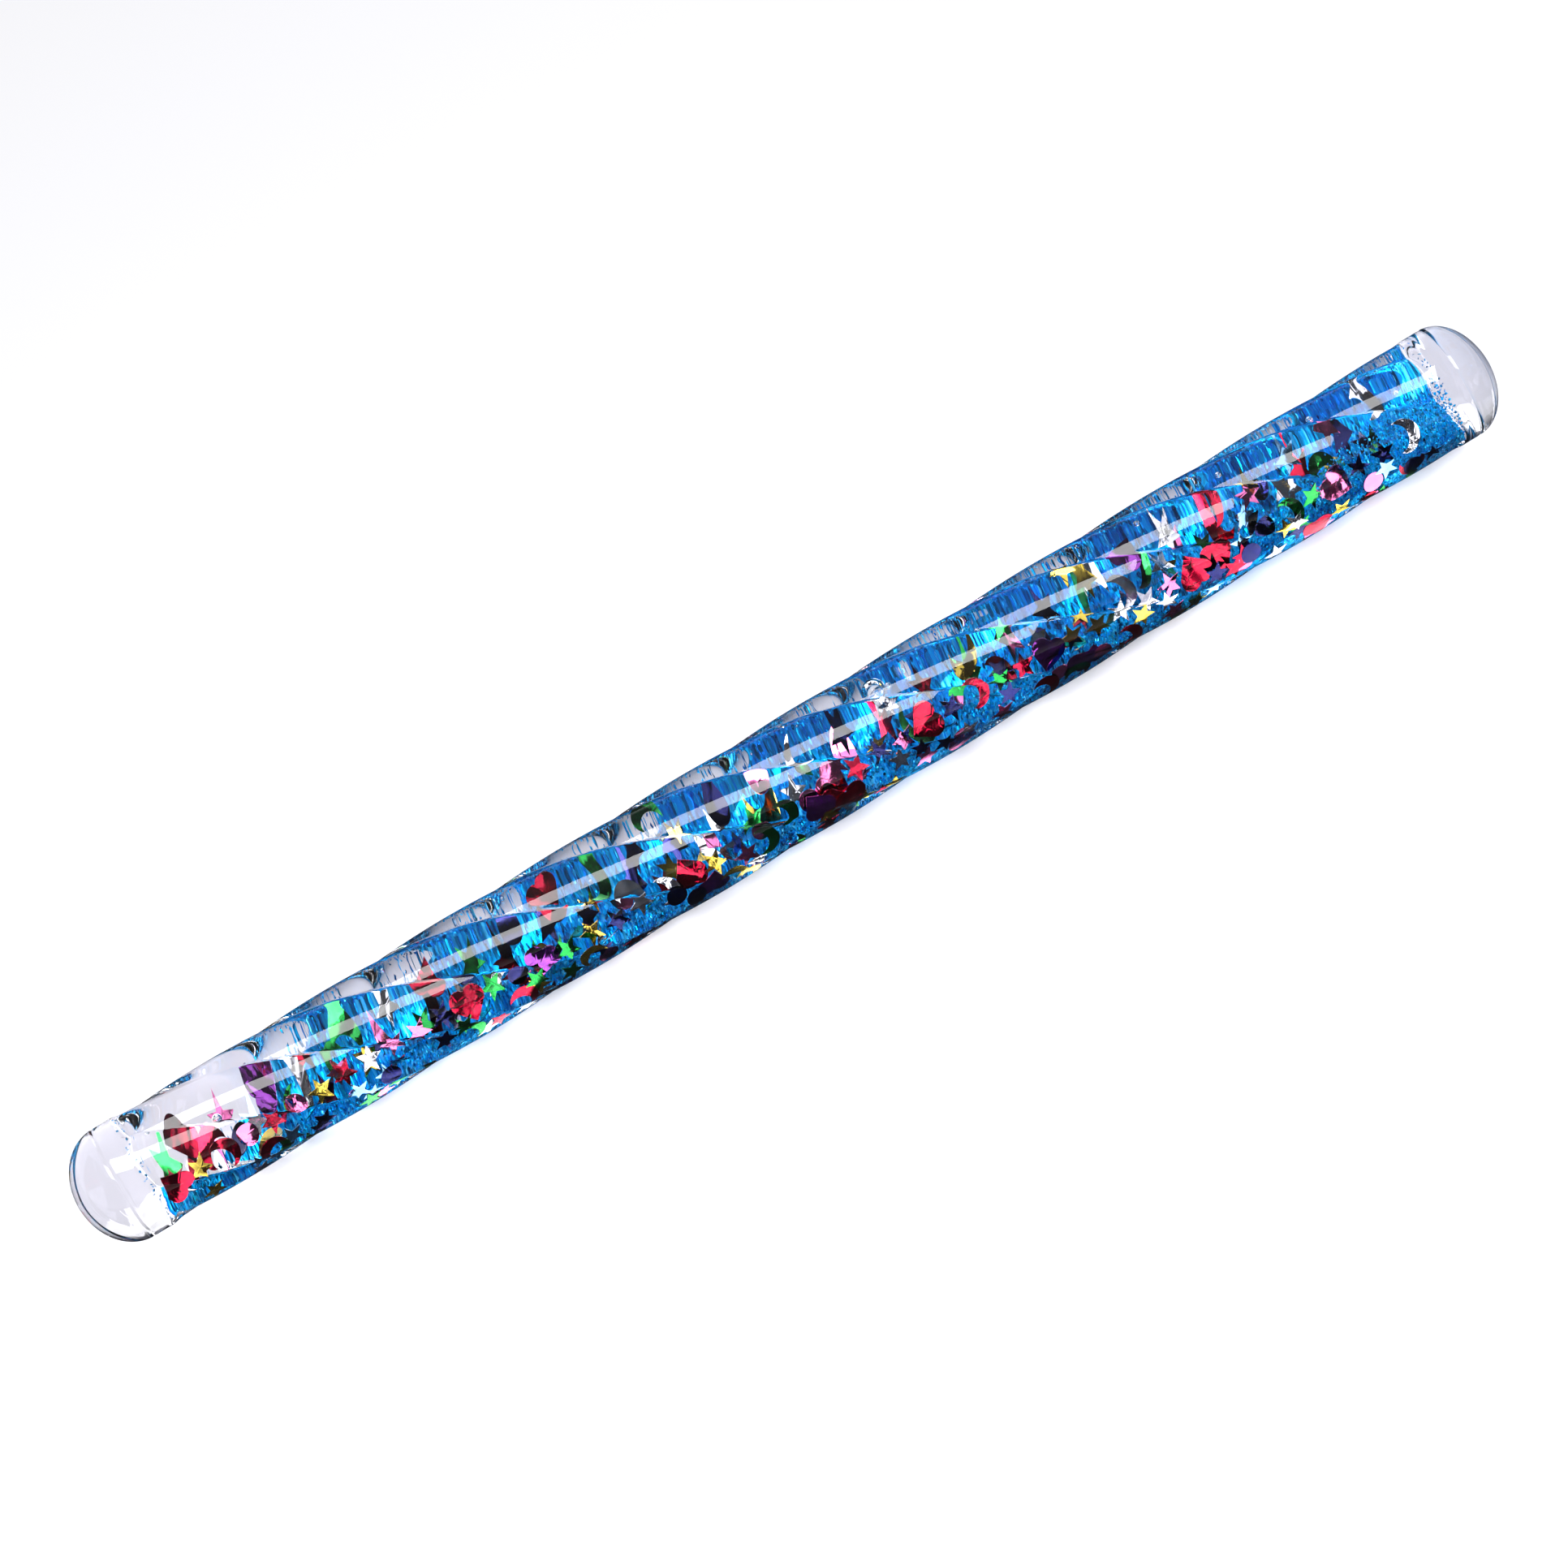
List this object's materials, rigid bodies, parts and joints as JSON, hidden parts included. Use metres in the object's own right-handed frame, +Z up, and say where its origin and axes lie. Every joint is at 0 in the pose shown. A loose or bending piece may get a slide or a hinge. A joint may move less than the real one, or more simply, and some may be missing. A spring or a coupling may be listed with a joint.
{
  "type": "spiral glitter wand",
  "caption": "Clear twisted tube with domed end plugs, filled with oil, glitter and foil confetti that settles and drifts, for the cross hole of a wand kaleidoscope.",
  "frame": {"origin": "the middle of the wand's axis, halfway between the tips of the two domes", "axes": "+X along the wand towards the flatter dome, +Z up with the filling settled at the bottom, -Y the side that faces the viewer"},
  "size_m": [0.3, 0.0224, 0.0224],
  "materials": {
    "clear_acrylic": "gloss",
    "clear_oil": "gloss",
    "blue_glitter": "satin",
    "silver_foil": "gloss",
    "gold_foil": "gloss",
    "red_foil": "gloss",
    "green_foil": "gloss",
    "navy_foil": "gloss",
    "pale_blue_foil": "gloss",
    "pink_foil": "gloss",
    "purple_foil": "gloss"
  },
  "bodies": {
    "wand": {"tube": "clear_acrylic", "left_end_plug": "clear_acrylic", "right_end_plug": "clear_acrylic"},
    "contents": {"oil_fill": "clear_oil", "glitter_bed": "blue_glitter", "silver_stars": "silver_foil", "gold_stars": "gold_foil", "red_stars": "red_foil", "green_stars": "green_foil", "navy_stars": "navy_foil", "blue_stars": "pale_blue_foil", "pink_stars": "pink_foil", "silver_moons": "silver_foil", "gold_moons": "gold_foil", "green_moons": "green_foil", "red_moons": "red_foil", "red_hearts": "red_foil", "purple_hearts": "purple_foil", "pink_hearts": "pink_foil", "navy_dots": "navy_foil", "pink_dots": "pink_foil", "green_diamonds": "green_foil", "pink_diamonds": "pink_foil"},
    "silver_star": {"drifting_silver_star": "silver_foil"},
    "gold_star": {"drifting_gold_star": "gold_foil"},
    "green_moon": {"drifting_green_moon": "green_foil"},
    "red_heart": {"drifting_red_heart": "red_foil"},
    "pink_star": {"drifting_pink_star": "pink_foil"}
  },
  "joints": [
    {"name": "contents_roll", "type": "hinge", "parent": "wand", "child": "contents", "pos_m": [0, 0, 0], "axis": [1, 0, 0], "continuous": true},
    {"name": "silver_star_drift", "type": "slide", "parent": "contents", "child": "silver_star", "axis": [1, 0, 0], "range_m": [-0.156, 0.114], "deforming": ["oil_fill"]},
    {"name": "gold_star_drift", "type": "slide", "parent": "contents", "child": "gold_star", "axis": [1, 0, 0], "range_m": [-0.196, 0.074], "deforming": ["oil_fill"]},
    {"name": "green_moon_drift", "type": "slide", "parent": "contents", "child": "green_moon", "axis": [1, 0, 0], "range_m": [-0.108, 0.161], "deforming": ["oil_fill"]},
    {"name": "red_heart_drift", "type": "slide", "parent": "contents", "child": "red_heart", "axis": [1, 0, 0], "range_m": [-0.084, 0.184], "deforming": ["oil_fill"]},
    {"name": "pink_star_drift", "type": "slide", "parent": "contents", "child": "pink_star", "axis": [1, 0, 0], "range_m": [-0.232, 0.038], "deforming": ["oil_fill"]}
  ]
}
